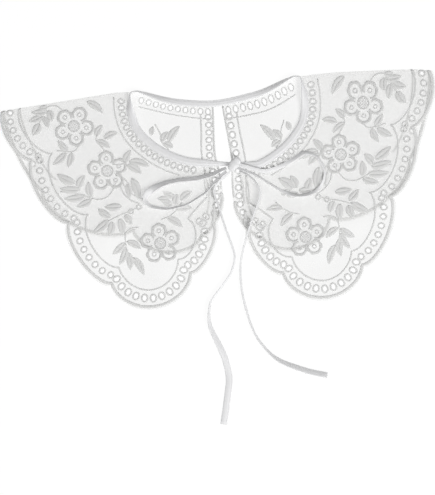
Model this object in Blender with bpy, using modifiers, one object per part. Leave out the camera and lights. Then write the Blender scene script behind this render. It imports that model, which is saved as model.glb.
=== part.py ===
"""Lace collar, laid flat and tied in a bow.

Two mirror-image halves, each cut in one piece and folded over at the shoulder, so that
the front lies on the shorter back. A bias tape binds the neck from one front end to the
other, and its two ends are tied in a bow with two loose tails.

Sizes are in millimetres in the tables and become metres in the meshes. +Z is up, +Y runs
from the hem to the back of the neck, and the part lies on its back layer.
"""
from collections import namedtuple
from functools import cache
from math import atan2, cos, degrees, exp, hypot, pi, radians, sin

import bmesh
import bpy
from mathutils import Matrix, Vector, geometry

MM = 0.001
GAP = 0.3

# Cloth and its fold at the shoulder.
CLOTH = 1.0
FOLD_RADIUS = 0.9
FOLD_ARC = FOLD_RADIUS * pi / 2
FOLD_TAKE = FOLD_ARC - FOLD_RADIUS
FOLD_LINES = [FOLD_ARC * share for share in (-1.0, -0.5, 0.0, 0.5, 1.0)]
BORDER_DEPTH = 15.0
NECK_POINT = Vector((78.6, 6.4))
SHOULDER_TIP = Vector((193.6, 1.0))
SHOULDER_INNER = SHOULDER_TIP + (NECK_POINT - SHOULDER_TIP).normalized() * BORDER_DEPTH

# The scalloped border: its stitched edge, and the eyelets along its middle.
STITCH_MARGIN = 2.7
EYELET_DEPTH = 7.5
SCALLOP_FULLNESS = 1.2
SCALLOP_STEPS = 8

Scallop = namedtuple("Scallop", "x y inner_x inner_y bulge eyelets across along")
FRONT_SCALLOPS = [
    Scallop(170.8, -45.6, 151.9, -41.0, 5.6, 7, 4.4, 4.4),
    Scallop(144.4, -105.4, 126.3, -100.1, 10.5, 9, 4.4, 4.4),
    Scallop(112.7, -163.7, 104.7, -150.3, 11.0, 8, 4.4, 4.4),
    Scallop(41.6, -162.4, 51.0, -149.3, 24.7, 11, 6.9, 4.1),
    Scallop(16.6, -120.2, 36.9, -115.4, 12.5, 7, 6.9, 4.1),
    Scallop(13.8, -104.0, 21.0, -101.0, 1.5, 2, 4.4, 4.4),
]
BACK_SCALLOPS = [
    Scallop(152.0, -64.0, 136.0, -54.0, 13.0, 10, 4.4, 4.4),
    Scallop(88.0, -113.0, 81.0, -97.0, 22.0, 12, 4.4, 4.4),
    Scallop(27.0, -134.0, 33.0, -117.0, 17.0, 8, 4.4, 4.4),
    Scallop(7.5, -108.0, 14.5, -104.0, 1.0, 3, 4.4, 4.4),
]
FRONT_EDGE = [(12.1, -96.0), (11.6, -86.0), (11.0, -76.0), (10.8, -71.0)]
BACK_EDGE = [(4.7, -101.0), (4.4, -84.0), (6.4, -57.0), (3.6, -16.0), (3.4, -12.6)]
BACK_COLUMN = [(10.6, -98.0), (10.0, -88.0), (11.2, -73.0), (12.2, -57.0), (10.2, -35.0), (9.2, -18.0)]
BACK_COLUMN_EYELETS = 11
COLUMN_EYELET = 4.2

# The cloth's own mesh: its grid, and how far that stays from any cut edge.
GRID = 15.0
CLEAR_OF_EDGE = 3.4
CLEAR_OF_END = 0.6
ON_LINE = 1e-4

# Each half lies this far along the collar's axis from the mirror of the other, the left
# one up and the right one down. The tape takes it up near the middle of the back.
HALF_SLIDE = 4.65
SLIDE_REACH = 60.0
BACK_MIDDLE = Vector((0.0, -9.2))

# The front eases down almost to the floor over this distance past the back's hem.
EASE_LENGTH = 22.0
HEM_LIFT = 0.1

# Soft waves in the front, spreading from the neck.
Wave = namedtuple("Wave", "angle rise spread")
WAVES = [Wave(-9.0, 1.5, 5.0), Wave(-30.0, 1.2, 6.0), Wave(-52.0, 1.6, 6.0), Wave(-74.0, 1.1, 5.0)]
WAVE_CENTRE = Vector((20.0, 0.0))
WAVE_START = 85.0
WAVE_FULL = 150.0

# Tapes: the binding round the neck, and the same tape stitched shut for the ties.
Tape = namedtuple("Tape", "width thick")
BINDING = Tape(7.5, 1.9)
TIE = Tape(6.0, 1.2)
TAPE_STEP = 6.0
ON_BACK = CLOTH + 0.35

# How far round a tie's point the cloth under it is felt, and the passes that ease its slopes.
FEEL_REACH = 6.5
FEEL_WAYS = 8
EASING_PASSES = 4

# A tape's route: where it runs, its lift above the floor (the binding) or above the cloth
# under it (a tie), its lean from lying flat (90 stands on its edge) and its size against
# the full tape.
Row = namedtuple("Row", "x y lift lean size")
NECK_ROUTE = [
    Row(0.0, -9.2, 0.1, 0, 0.8),
    Row(12.0, -9.0, 0.1, 0, 0.8),
    Row(28.0, -6.5, 0.1, 5, 0.8),
    Row(40.0, -4.0, 0.1, 15, 0.8),
    Row(52.0, 0.0, 0.2, 35, 0.8),
    Row(62.0, 4.0, 0.8, 60, 0.8),
    Row(71.0, 6.6, ON_BACK, 80, 0.8),
    Row(76.3, 5.2, ON_BACK, 85, 0.8),
    Row(78.0, -0.5, ON_BACK, 72, 0.9),
    Row(78.6, -8.5, ON_BACK, 38, 1.0),
    Row(77.5, -19.0, ON_BACK, 10, 1.0),
    Row(74.0, -30.0, ON_BACK, 0, 1.0),
    Row(66.0, -41.0, ON_BACK, 0, 1.0),
    Row(55.0, -51.0, ON_BACK, 0, 1.0),
    Row(41.7, -59.0, ON_BACK, 0, 1.0),
    Row(30.0, -63.6, ON_BACK, 0, 1.0),
    Row(17.0, -66.2, ON_BACK, 0, 0.95),
]
NECK_CORNER = 7
LEFT_END = [Row(-8.3, -63.0, ON_BACK, 0, 0.65), Row(6.0, -65.0, ON_BACK, 0, 0.45)]
RIGHT_END = [Row(21.5, -67.2, ON_BACK, 0, 0.7), Row(12.0, -66.0, ON_BACK, 0, 0.5)]

LEFT_LOOP = [
    Row(7.0, -66.9, 1.9, 10, 0.7),
    Row(-4.0, -69.8, 1.4, 15, 0.9),
    Row(-11.1, -72.0, GAP, 10, 1.0),
    Row(-25.9, -73.9, GAP, 0, 1.05),
    Row(-40.3, -73.6, GAP, 0, 1.05),
    Row(-52.2, -74.5, GAP, 10, 1.05),
    Row(-63.4, -77.3, GAP, 25, 1.0),
    Row(-71.8, -82.3, GAP, 55, 1.0),
    Row(-74.6, -88.6, GAP, 70, 1.0),
    Row(-70.5, -94.2, GAP, 65, 1.0),
    Row(-57.2, -98.4, GAP, 45, 1.0),
    Row(-45.8, -97.9, GAP, 45, 1.0),
    Row(-36.6, -96.2, GAP, 55, 1.0),
    Row(-28.0, -92.2, GAP, 70, 0.9),
    Row(-18.4, -87.0, GAP, 80, 0.85),
    Row(-9.4, -78.4, GAP, 60, 0.7),
    Row(1.0, -71.0, GAP, 20, 0.5),
    Row(6.0, -68.6, GAP, 10, 0.5),
]
RIGHT_LOOP = [
    Row(12.0, -66.2, 1.4, 70, 0.7),
    Row(22.0, -70.4, 1.2, 65, 0.8),
    Row(32.9, -74.6, GAP, 60, 0.9),
    Row(42.0, -74.4, GAP, 65, 0.9),
    Row(53.3, -71.2, GAP, 70, 0.9),
    Row(62.8, -66.9, GAP, 65, 0.95),
    Row(72.5, -62.9, GAP, 55, 1.0),
    Row(80.8, -65.6, GAP, 75, 1.0),
    Row(86.3, -72.3, GAP, 85, 1.0),
    Row(88.5, -82.0, GAP, 85, 1.0),
    Row(85.2, -91.6, GAP, 75, 1.0),
    Row(77.0, -97.6, GAP, 55, 1.0),
    Row(67.3, -99.1, GAP, 40, 1.0),
    Row(58.2, -98.2, GAP, 50, 1.0),
    Row(50.5, -94.9, GAP, 70, 0.9),
    Row(42.6, -89.9, GAP, 80, 0.85),
    Row(34.6, -83.6, GAP, 85, 0.8),
    Row(26.8, -77.4, GAP, 85, 0.75),
    Row(10.5, -68.8, GAP, 85, 0.6),
]
LEFT_TAIL = [
    Row(7.0, -69.8, GAP, 85, 0.7),
    Row(2.0, -73.9, GAP, 85, 0.7),
    Row(-7.0, -80.2, GAP, 85, 0.75),
    Row(-11.3, -85.5, GAP, 85, 0.8),
    Row(-11.6, -92.5, GAP, 85, 0.8),
    Row(-9.4, -101.2, GAP, 85, 0.8),
    Row(-7.8, -110.4, GAP, 85, 0.85),
    Row(-4.8, -125.2, GAP, 85, 0.85),
    Row(-1.2, -139.2, GAP, 80, 0.9),
    Row(-0.3, -149.0, GAP, 75, 0.9),
    Row(-5.2, -162.3, GAP, 70, 0.9),
    Row(-16.7, -175.5, GAP, 70, 0.9),
    Row(-26.1, -186.2, GAP, 75, 0.9),
    Row(-29.2, -198.0, GAP, 70, 0.95),
    Row(-28.7, -209.5, GAP, 55, 1.0),
    Row(-24.0, -223.2, GAP, 35, 1.0),
    Row(-19.4, -238.0, GAP, 15, 1.0),
    Row(-17.6, -254.2, GAP, 0, 1.0),
    Row(-19.9, -268.0, GAP, 0, 1.0),
    Row(-27.2, -296.6, GAP, 0, 1.0),
]
RIGHT_TAIL = [
    Row(8.5, -68.0, GAP, 85, 0.6),
    Row(12.6, -72.2, GAP, 85, 0.65),
    Row(18.4, -75.8, GAP, 85, 0.75),
    Row(25.4, -83.0, GAP, 85, 0.8),
    Row(28.9, -93.0, GAP, 75, 0.85),
    Row(26.1, -102.5, GAP, 75, 0.85),
    Row(20.2, -114.5, GAP, 80, 0.85),
    Row(14.2, -127.4, GAP, 80, 0.85),
    Row(7.9, -143.0, GAP, 80, 0.85),
    Row(3.9, -157.9, GAP, 75, 0.85),
    Row(2.8, -176.8, GAP, 75, 0.9),
    Row(4.6, -195.7, GAP, 75, 0.9),
    Row(9.8, -218.4, GAP, 70, 0.9),
    Row(19.1, -234.9, GAP, 65, 0.9),
    Row(28.8, -245.0, GAP, 55, 0.95),
    Row(40.7, -251.8, GAP, 45, 1.0),
    Row(55.3, -258.5, GAP, 35, 1.0),
    Row(70.2, -263.4, GAP, 30, 1.0),
]

KNOT_MIDDLE = Vector((8.9, -65.6))
KNOT_TURN = radians(-43.0)
KNOT_CAGE = (9.4, 16.0, 7.0)
KNOT_SHRINK = 0.84
KNOT_CLEAR = 1.1

# The box of the cloth, the binding and the knot is centred on the origin.
CENTRE = Vector((0.0, -91.35))

Finish = namedtuple("Finish", "colour roughness")
LACE = Finish((0.93, 0.93, 0.925, 1.0), 0.85)
SATIN = Finish((0.87, 0.87, 0.88, 1.0), 0.38)


def clear_scene():
    """Remove every object that the new file came with."""
    for obj in list(bpy.data.objects):
        bpy.data.objects.remove(obj, do_unlink=True)


def new_collection(name):
    """Return a new collection linked to the scene."""
    group = bpy.data.collections.new(name)
    bpy.context.scene.collection.children.link(group)
    return group


def new_material(name, finish):
    """Return a Principled material of a finish."""
    mat = bpy.data.materials.new(name)
    mat.use_nodes = True
    shader = mat.node_tree.nodes["Principled BSDF"]
    shader.inputs["Base Color"].default_value = finish.colour
    shader.inputs["Roughness"].default_value = finish.roughness
    shader.inputs["Metallic"].default_value = 0.0
    return mat


def smoothstep(value):
    """Ease from 0 to 1 as the value goes from 0 to 1."""
    value = min(max(value, 0.0), 1.0)
    return value * value * (3 - 2 * value)


def spline(before, start, end, after, t):
    """Return a value on the smooth curve from start to end, between two further values."""
    square = (2 * before - 5 * start + 4 * end - after) * t * t
    cube = (3 * start - before - 3 * end + after) * t ** 3
    return (2 * start + (end - before) * t + square + cube) / 2


def through(rows, step):
    """Return rows of numbers about a step apart on a smooth curve through the given ones."""
    first = [2 * a - b for a, b in zip(rows[0], rows[1])]
    last = [2 * a - b for a, b in zip(rows[-1], rows[-2])]
    padded = [first, *rows, last]
    smooth = [tuple(rows[0])]
    for before, start, end, after in zip(padded, padded[1:], padded[2:], padded[3:]):
        count = max(1, round(hypot(end[0] - start[0], end[1] - start[1]) / step))
        for i in range(1, count + 1):
            smooth.append(tuple(spline(*four, i / count) for four in zip(before, start, end, after)))
    return smooth


def slide(point, side):
    """Return a drawn point's place as its half lies, on side -1 (left) or 1 (right)."""
    share = smoothstep((point - BACK_MIDDLE).length / SLIDE_REACH)
    return Vector((side * point.x, point.y - side * HALF_SLIDE * share))


# The flat pattern of one half, drawn as it lies on the right, seen from above.

def border_line(start, start_inner, scallop, depth):
    """Return one scallop's line at a depth inside its stitched edge, notch to notch."""
    share = depth / BORDER_DEPTH
    end = Vector((scallop.x, scallop.y))
    end_inner = Vector((scallop.inner_x, scallop.inner_y))
    first = start.lerp(start_inner, share)
    last = end.lerp(end_inner, share)
    chord = last - first
    outward = Vector((-chord.y, chord.x)).normalized()
    inset = ((start + end) / 2 - (first + last) / 2).dot(outward)
    bulge = scallop.bulge + inset - depth
    line = []
    for i in range(SCALLOP_STEPS + 1):
        angle = pi * i / SCALLOP_STEPS
        rise = bulge * max(sin(angle), 0.0) ** SCALLOP_FULLNESS
        line.append(first + chord * (1 - cos(angle)) / 2 + outward * rise)
    return line


def border_lines(scallops, depth):
    """Return the lines of a row of scallops, starting at the shoulder tip."""
    start, inner = SHOULDER_TIP, SHOULDER_INNER
    lines = []
    for scallop in scallops:
        lines.append(border_line(start, inner, scallop, depth))
        start = Vector((scallop.x, scallop.y))
        inner = Vector((scallop.inner_x, scallop.inner_y))
    return lines


def spaced(line, count):
    """Return the place and direction of a count of eyelets spread evenly along a line."""
    lengths = [(b - a).length for a, b in zip(line, line[1:])]
    places = []
    for i in range(count):
        rest = (i + 0.5) / count * sum(lengths)
        index = 0
        while rest > lengths[index]:
            rest -= lengths[index]
            index += 1
        run = (line[index + 1] - line[index]).normalized()
        places.append((line[index] + run * rest, run))
    return places


def eyelet(place, run, across, size):
    """Return an eyelet's outline, its across side square to the run of its row."""
    sides = 6 if across == size else 8
    side = Vector((run.y, -run.x))
    turns = [2 * pi * i / sides for i in range(sides)]
    return [place + side * (across / 2 * cos(a)) + run * (size / 2 * sin(a)) for a in turns]


def border_eyelets(scallops):
    """Return the eyelets along a row of scallops."""
    holes = []
    for scallop, line in zip(scallops, border_lines(scallops, EYELET_DEPTH)):
        for place, run in spaced(line, scallop.eyelets):
            holes.append(eyelet(place, run, scallop.across, scallop.along))
    return holes


def column_eyelets():
    """Return the eyelets down the back's centre edge."""
    line = [Vector(p) for p in through(BACK_COLUMN, GRID)]
    return [eyelet(place, run, COLUMN_EYELET, COLUMN_EYELET)
            for place, run in spaced(line, BACK_COLUMN_EYELETS)]


def reach(row, tape):
    """Return how far a leaning tape reaches from its middle, sideways and upwards."""
    lean = radians(row.lean)
    sideways = row.size * (tape.width * cos(lean) + tape.thick * sin(lean)) / 2
    upwards = row.size * (tape.width * sin(lean) + tape.thick * cos(lean)) / 2
    return sideways, upwards


def neck_edges():
    """Return the back's and the front's cloth edges beside the binding, towards the fold."""
    rows = [Row(*r) for r in through(NECK_ROUTE, TAPE_STEP)]
    bend = NECK_ROUTE[NECK_CORNER]
    corner = min(range(len(rows)), key=lambda i: hypot(rows[i].x - bend.x, rows[i].y - bend.y))
    edge = []
    for i, row in enumerate(rows):
        before, after = rows[max(i - 1, 0)], rows[min(i + 1, len(rows) - 1)]
        run = Vector((after.x - before.x, after.y - before.y)).normalized()
        aside = Vector((run.y, -run.x)) * (1 if i < corner else -1)
        edge.append(Vector((row.x, row.y)) + aside * (reach(row, BINDING)[0] + GAP))
    return edge[1:corner], edge[:corner:-1]


@cache
def back_outline():
    """Return the back's edge as it lies, from the shoulder tip round to the neck point."""
    line = [p for part in border_lines(BACK_SCALLOPS, -STITCH_MARGIN) for p in part[:-1]]
    return line + [Vector(p) for p in BACK_EDGE] + neck_edges()[0]


@cache
def front_outline():
    """Return the front's edge as it lies, from the shoulder tip round to the neck point."""
    line = [p for part in border_lines(FRONT_SCALLOPS, -STITCH_MARGIN) for p in part[:-1]]
    return line + [Vector(p) for p in FRONT_EDGE] + neck_edges()[1]


# Unfolding: s runs along the fold to the shoulder, w across it, above 0 in front.

def fold_axes():
    """Return the fold's direction to the shoulder tip, and the way from it to the hem."""
    run = (SHOULDER_TIP - NECK_POINT).normalized()
    return run, Vector((run.y, -run.x))


def unfold(point, layer):
    """Return a laid point's place on the flat pattern, layer 1 in front and -1 behind."""
    run, down = fold_axes()
    offset = point - NECK_POINT
    return Vector((offset.dot(run), layer * (max(offset.dot(down), 0.0) + FOLD_TAKE)))


def flat_outline():
    """Return the whole half's edge on the flat pattern."""
    run = fold_axes()[0]
    front, back = front_outline(), back_outline()
    tip = Vector(((front[0] - NECK_POINT).dot(run), 0.0))
    outline = [tip]
    outline += [unfold(p, 1) for p in front[1:]]
    outline += [Vector((0.0, 0.0))]
    outline += [unfold(p, -1) for p in reversed(back[1:])]
    return outline


def crossings_added(outline):
    """Return the outline with a point wherever it crosses a line of the fold."""
    full = []
    for a, b in zip(outline, outline[1:] + outline[:1]):
        full.append(a)
        cuts = [(w - a.y) / (b.y - a.y) for w in FOLD_LINES if (w - a.y) * (w - b.y) < 0]
        full += [a.lerp(b, share) for share in sorted(cuts)]
    return full


def inside(point, outline):
    """Say whether a point lies inside a closed outline."""
    odd = False
    for a, b in zip(outline, outline[1:] + outline[:1]):
        if (a.y > point.y) != (b.y > point.y):
            odd ^= point.x < a.x + (b.x - a.x) * (point.y - a.y) / (b.y - a.y)
    return odd


def distance(point, outline):
    """Return a point's distance from a closed outline."""
    nearest = []
    for a, b in zip(outline, outline[1:] + outline[:1]):
        edge = b - a
        share = min(max((point - a).dot(edge) / edge.dot(edge), 0.0), 1.0)
        nearest.append((point - a - edge * share).length)
    return min(nearest)


def grid_points(outline, loops):
    """Return the pattern's inner points: the fold's lines and a grid clear of every edge."""
    s_low, s_high = min(p.x for p in outline), max(p.x for p in outline)
    w_low, w_high = min(p.y for p in outline), max(p.y for p in outline)
    columns = range(int((s_high - s_low) / GRID) + 1)
    on_fold = [Vector((s_low + GRID * i, w)) for w in FOLD_LINES for i in columns]
    points = [p for p in on_fold if inside(p, outline) and distance(p, outline) > CLEAR_OF_END]
    row_height = GRID * sin(pi / 3)
    for j in range(int((w_high - w_low) / row_height) + 1):
        for i in columns:
            p = Vector((s_low + GRID * (i + j % 2 / 2), w_low + row_height * j))
            if abs(p.y) > GRID / 2 and inside(p, outline):
                if min(distance(p, loop) for loop in loops) > CLEAR_OF_EDGE:
                    points.append(p)
    return points


def flat_pattern():
    """Return the points and triangles of one half, flat and with its eyelets cut."""
    outline = crossings_added(flat_outline())
    holes = [[unfold(p, 1) for p in hole] for hole in border_eyelets(FRONT_SCALLOPS)]
    behind = border_eyelets(BACK_SCALLOPS) + column_eyelets()
    holes += [[unfold(p, -1) for p in hole] for hole in behind]
    loops = [outline, *holes]
    points, edges = [], []
    for loop in loops:
        start, count = len(points), len(loop)
        points += loop
        edges += [(start + i, start + (i + 1) % count) for i in range(count)]
    points += grid_points(outline, loops)
    for w in FOLD_LINES:
        row = sorted((p.x, i) for i, p in enumerate(points) if abs(p.y - w) < ON_LINE)
        edges += [(a, b) for (_, a), (_, b) in zip(row, row[1:])]
    points, _, faces, *_ = geometry.delaunay_2d_cdt(points, edges, [], 1, 1e-6)
    centres = [sum((points[i] for i in face), Vector((0.0, 0.0))) / len(face) for face in faces]
    cut = [any(inside(centre, hole) for hole in holes) for centre in centres]
    return points, [face for face, gone in zip(faces, cut) if not gone]


# Laying: the flat pattern is folded over, and the front settles on what is under it.

def wave_height(point):
    """Return the rise of the front's soft waves at a laid point."""
    offset = point - WAVE_CENTRE
    angle = degrees(atan2(offset.y, offset.x))
    ramp = smoothstep((offset.length - WAVE_START) / (WAVE_FULL - WAVE_START))
    return ramp * sum(w.rise * exp(-((angle - w.angle) / w.spread) ** 2) for w in WAVES)


def front_height(point):
    """Return the front's height at a laid point, at the middle of the cloth."""
    behind = back_outline()
    past = 0.0 if inside(point, behind) else distance(point, behind)
    drop = (2 * FOLD_RADIUS - HEM_LIFT) * smoothstep(past / EASE_LENGTH)
    return CLOTH / 2 + 2 * FOLD_RADIUS + wave_height(point) - drop


def lay(point):
    """Return a flat pattern point's place as laid, at the middle of the cloth."""
    run, down = fold_axes()
    s, w = point
    if abs(w) < FOLD_ARC:
        turn = w / FOLD_RADIUS
        across = FOLD_RADIUS * (1 - cos(turn))
        return NECK_POINT + run * s + down * across, CLOTH / 2 + FOLD_RADIUS * (1 + sin(turn))
    place = NECK_POINT + run * s + down * (abs(w) - FOLD_TAKE)
    return place, front_height(place) if w > 0 else CLOTH / 2


def cloth_top(place):
    """Return the height of the cloth's top at a laid place, or 0 off the cloth."""
    side = 1 if place.x > 0 else -1
    share = smoothstep((place - BACK_MIDDLE).length / SLIDE_REACH)
    point = Vector((side * place.x, place.y + side * HALF_SLIDE * share))
    if inside(point, front_outline()):
        return front_height(point) + CLOTH / 2
    return CLOTH if inside(point, back_outline()) else 0.0


def make_half(name, side, pattern, mat, group):
    """Make one half of the collar, folded at the shoulder, on side -1 or 1."""
    points, faces = pattern
    mesh = bpy.data.meshes.new(name)
    places = []
    for point in points:
        place, height = lay(point)
        laid = slide(place, side) - CENTRE
        places.append((laid.x * MM, laid.y * MM, height * MM))
    mesh.from_pydata(places, [], faces)
    bm = bmesh.new()
    bm.from_mesh(mesh)
    bmesh.ops.recalc_face_normals(bm, faces=bm.faces)
    bm.to_mesh(mesh)
    bm.free()
    half = bpy.data.objects.new(name, mesh)
    mesh.materials.append(mat)
    group.objects.link(half)
    wall = half.modifiers.new("cloth", "SOLIDIFY")
    wall.thickness = CLOTH * MM
    wall.offset = 0.0
    wall.use_even_offset = True
    return half


# Tapes and the knot.

def in_knot(row):
    """Say whether a place on a route is inside the knot or too near it for a tape's end."""
    offset = Matrix.Rotation(-KNOT_TURN, 2) @ (Vector((row.x, row.y)) - KNOT_MIDDLE)
    half_x = KNOT_CAGE[0] / 2 * KNOT_SHRINK + KNOT_CLEAR
    half_y = KNOT_CAGE[1] / 2 * KNOT_SHRINK + KNOT_CLEAR
    return (offset.x / half_x) ** 2 + (offset.y / half_y) ** 2 < 1


def make_section(name, tape, guides):
    """Make a tape's cross-section, a flat strip with chamfered sides."""
    section = bpy.data.curves.new(name, "CURVE")
    section.dimensions = "2D"
    half_x, half_y = tape.width / 2 * MM, tape.thick / 2 * MM
    flat_x = half_x - half_y
    corners = [(half_x, 0), (flat_x, -half_y), (-flat_x, -half_y),
               (-half_x, 0), (-flat_x, half_y), (flat_x, half_y)]
    line = section.splines.new("POLY")
    line.points.add(len(corners) - 1)
    for point, (x, y) in zip(line.points, corners):
        point.co = (x, y, 0, 1)
    line.use_cyclic_u = True
    guide = bpy.data.objects.new(name, section)
    guide.hide_render = True
    guide.display_type = "WIRE"
    guides.objects.link(guide)
    return guide


def settled(route):
    """Return a tie's route lifted clear of the cloth, with gentle slopes."""
    turns = [2 * pi * i / FEEL_WAYS for i in range(FEEL_WAYS)]
    around = [Vector((0.0, 0.0))] + [FEEL_REACH * Vector((cos(a), sin(a))) for a in turns]
    lifts = []
    for row in route:
        place = Vector((row.x, row.y))
        lifts.append(row.lift + max(cloth_top(place + way) for way in around))
    for _ in range(EASING_PASSES):
        eased = [(a + c) / 2 for a, c in zip(lifts, lifts[2:])]
        lifts[1:-1] = [max(pair) for pair in zip(lifts[1:-1], eased)]
    return [row._replace(lift=lift) for row, lift in zip(route, lifts)]


def make_tape(name, rows, tape, section, mat, group):
    """Make a tape along a route, stopping where it meets the knot."""
    route = [Row(*r) for r in through(rows, TAPE_STEP)]
    if tape is TIE:
        route = settled(route)
    route = [row for row in route if not in_knot(row)]
    curve = bpy.data.curves.new(name, "CURVE")
    curve.dimensions = "3D"
    curve.twist_mode = "Z_UP"
    curve.bevel_mode = "OBJECT"
    curve.bevel_object = section
    curve.use_fill_caps = True
    line = curve.splines.new("POLY")
    line.points.add(len(route) - 1)
    for point, row in zip(line.points, route):
        height = row.lift + reach(row, tape)[1]
        point.co = ((row.x - CENTRE.x) * MM, (row.y - CENTRE.y) * MM, height * MM, 1)
        point.tilt = radians(row.lean)
        point.radius = row.size
    strip = bpy.data.objects.new(name, curve)
    curve.materials.append(mat)
    group.objects.link(strip)
    return strip


def laid_row(row, side):
    """Return a row of the neck's route as its half lies."""
    place = slide(Vector((row.x, row.y)), side)
    return row._replace(x=place.x, y=place.y)


def neck_route():
    """Return the binding's route from the knot round the neck and back to the knot."""
    left = [laid_row(row, -1) for row in NECK_ROUTE[1:]]
    right = [laid_row(row, 1) for row in NECK_ROUTE[:-1]]
    return LEFT_END[::-1] + left[::-1] + right + RIGHT_END


def make_knot(mat, group):
    """Make the knot, a soft pillow of wrapped tape."""
    mesh = bpy.data.meshes.new("knot")
    bm = bmesh.new()
    bmesh.ops.create_cube(bm, size=1.0)
    bmesh.ops.scale(bm, vec=[size * MM for size in KNOT_CAGE], verts=bm.verts)
    bm.to_mesh(mesh)
    bm.free()
    mesh.materials.append(mat)
    knot = bpy.data.objects.new("knot", mesh)
    place = KNOT_MIDDLE - CENTRE
    height = ON_BACK + KNOT_CAGE[2] / 2 * KNOT_SHRINK
    knot.location = (place.x * MM, place.y * MM, height * MM)
    knot.rotation_euler.z = KNOT_TURN
    soft = knot.modifiers.new("soft", "SUBSURF")
    soft.levels = 2
    soft.render_levels = 2
    group.objects.link(knot)
    return knot


def main():
    """Build the collar."""
    clear_scene()
    collar = new_collection("lace_collar")
    guides = new_collection("tape_sections")
    lace = new_material("cotton_lace", LACE)
    satin = new_material("satin_tape", SATIN)
    pattern = flat_pattern()
    make_half("left_half", -1, pattern, lace, collar)
    make_half("right_half", 1, pattern, lace, collar)
    binding_section = make_section("binding_section", BINDING, guides)
    tie_section = make_section("tie_section", TIE, guides)
    make_tape("neck_binding", neck_route(), BINDING, binding_section, satin, collar)
    ties = {"left_loop": LEFT_LOOP, "right_loop": RIGHT_LOOP,
            "left_tail": LEFT_TAIL, "right_tail": RIGHT_TAIL}
    for name, rows in ties.items():
        make_tape(name, rows, TIE, tie_section, satin, collar)
    make_knot(satin, collar)


main()
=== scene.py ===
"""Looks of a lace collar, laid flat and tied in a bow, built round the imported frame.

Every table gives one half of the collar as it is drawn: lying on the right, seen from
above, in millimetres, with +Y towards the back of the neck. The half is one cut, folded at
the shoulder, so each drawn point is first unfolded onto the flat pattern, s along the fold
and w across it, above 0 in front. The needlework is made on that pattern, and then cloth
and thread are folded, mirrored and laid together. The frame's metres come last.
"""
import logging
import math
from dataclasses import dataclass, field
from enum import Enum
from typing import Any, NamedTuple, Sequence

import bpy
import numpy as np
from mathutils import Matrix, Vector, geometry, noise

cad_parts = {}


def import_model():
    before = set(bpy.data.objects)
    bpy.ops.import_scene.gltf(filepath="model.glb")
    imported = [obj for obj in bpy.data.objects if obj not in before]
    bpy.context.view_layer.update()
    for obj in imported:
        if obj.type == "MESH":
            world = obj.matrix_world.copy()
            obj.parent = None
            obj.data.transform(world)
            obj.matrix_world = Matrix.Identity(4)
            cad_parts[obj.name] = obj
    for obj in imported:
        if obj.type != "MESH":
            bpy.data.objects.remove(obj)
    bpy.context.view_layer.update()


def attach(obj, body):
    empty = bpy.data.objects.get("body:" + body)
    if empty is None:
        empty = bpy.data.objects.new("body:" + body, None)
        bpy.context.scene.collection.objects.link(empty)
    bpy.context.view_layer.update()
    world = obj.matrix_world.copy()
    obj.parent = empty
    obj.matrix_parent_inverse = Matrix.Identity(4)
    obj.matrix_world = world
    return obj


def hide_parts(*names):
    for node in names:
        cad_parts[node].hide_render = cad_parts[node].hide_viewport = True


log = logging.getLogger("lace_collar")

MM = 0.001
# The colour sockets of a Mix node, whose names stand for other sockets too.
MIX_FIRST, MIX_SECOND, MIX_OUT = 6, 7, 2


class Side(Enum):
    """Which half of the collar, seen from above."""

    LEFT = -1
    RIGHT = 1


class Layer(Enum):
    """Which layer of a folded half."""

    FRONT = 1
    BACK = -1


class Scallop(NamedTuple):
    """One scallop: the notch that ends it, the inner line's notch, its bulge and eyelets."""

    x: float
    y: float
    inner_x: float
    inner_y: float
    bulge: float
    eyelets: int
    across: float
    along: float


class Row(NamedTuple):
    """One row of a tape's route: place, lift, lean from lying flat, and size."""

    x: float
    y: float
    lift: float
    lean: float
    size: float


class Tape(NamedTuple):
    """A tape's full width and thickness."""

    width: float
    thick: float


class Leaf(NamedTuple):
    """An embroidered leaf, from its stalk to its tip, and its full width."""

    x: float
    y: float
    tip_x: float
    tip_y: float
    width: float


# The cut and how it lies.
WALL = 1.0
GAP = 0.3
FOLD_RADIUS = 0.9
FOLD_ARC = FOLD_RADIUS * math.pi / 2
FOLD_TAKE = FOLD_ARC - FOLD_RADIUS
BORDER_DEPTH = 15.0
NECK_POINT = np.array((78.6, 6.4))
SHOULDER_TIP = np.array((191.4, 1.1))
STITCH_MARGIN = 2.7
EYELET_DEPTH = 7.5
SCALLOP_FULLNESS = 1.2
HALF_SLIDE = 4.65
SLIDE_REACH = 60.0
BACK_MIDDLE = np.array((0.0, -9.2))
# How far each real half's shoulder lies above its mirror image's: x, on the left, on the right.
SHOULDER_RISE = np.array([(0, 0, 0), (14, 0, 1.8), (32, -2.7, 3.4), (50, -3.4, 4.3), (77, -1.6, 4.4),
                          (90, 0, 5.2), (110, 0, 5.8), (160, 0, 4.6), (180, 0, 3.8), (193.6, 0, 1.8)])
RISE_FROM = -24.0
RISE_OVER = 28.0
EASE_LENGTH = 22.0
HEM_LIFT = 0.1
CENTRE = np.array((0.0, -91.35))

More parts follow.
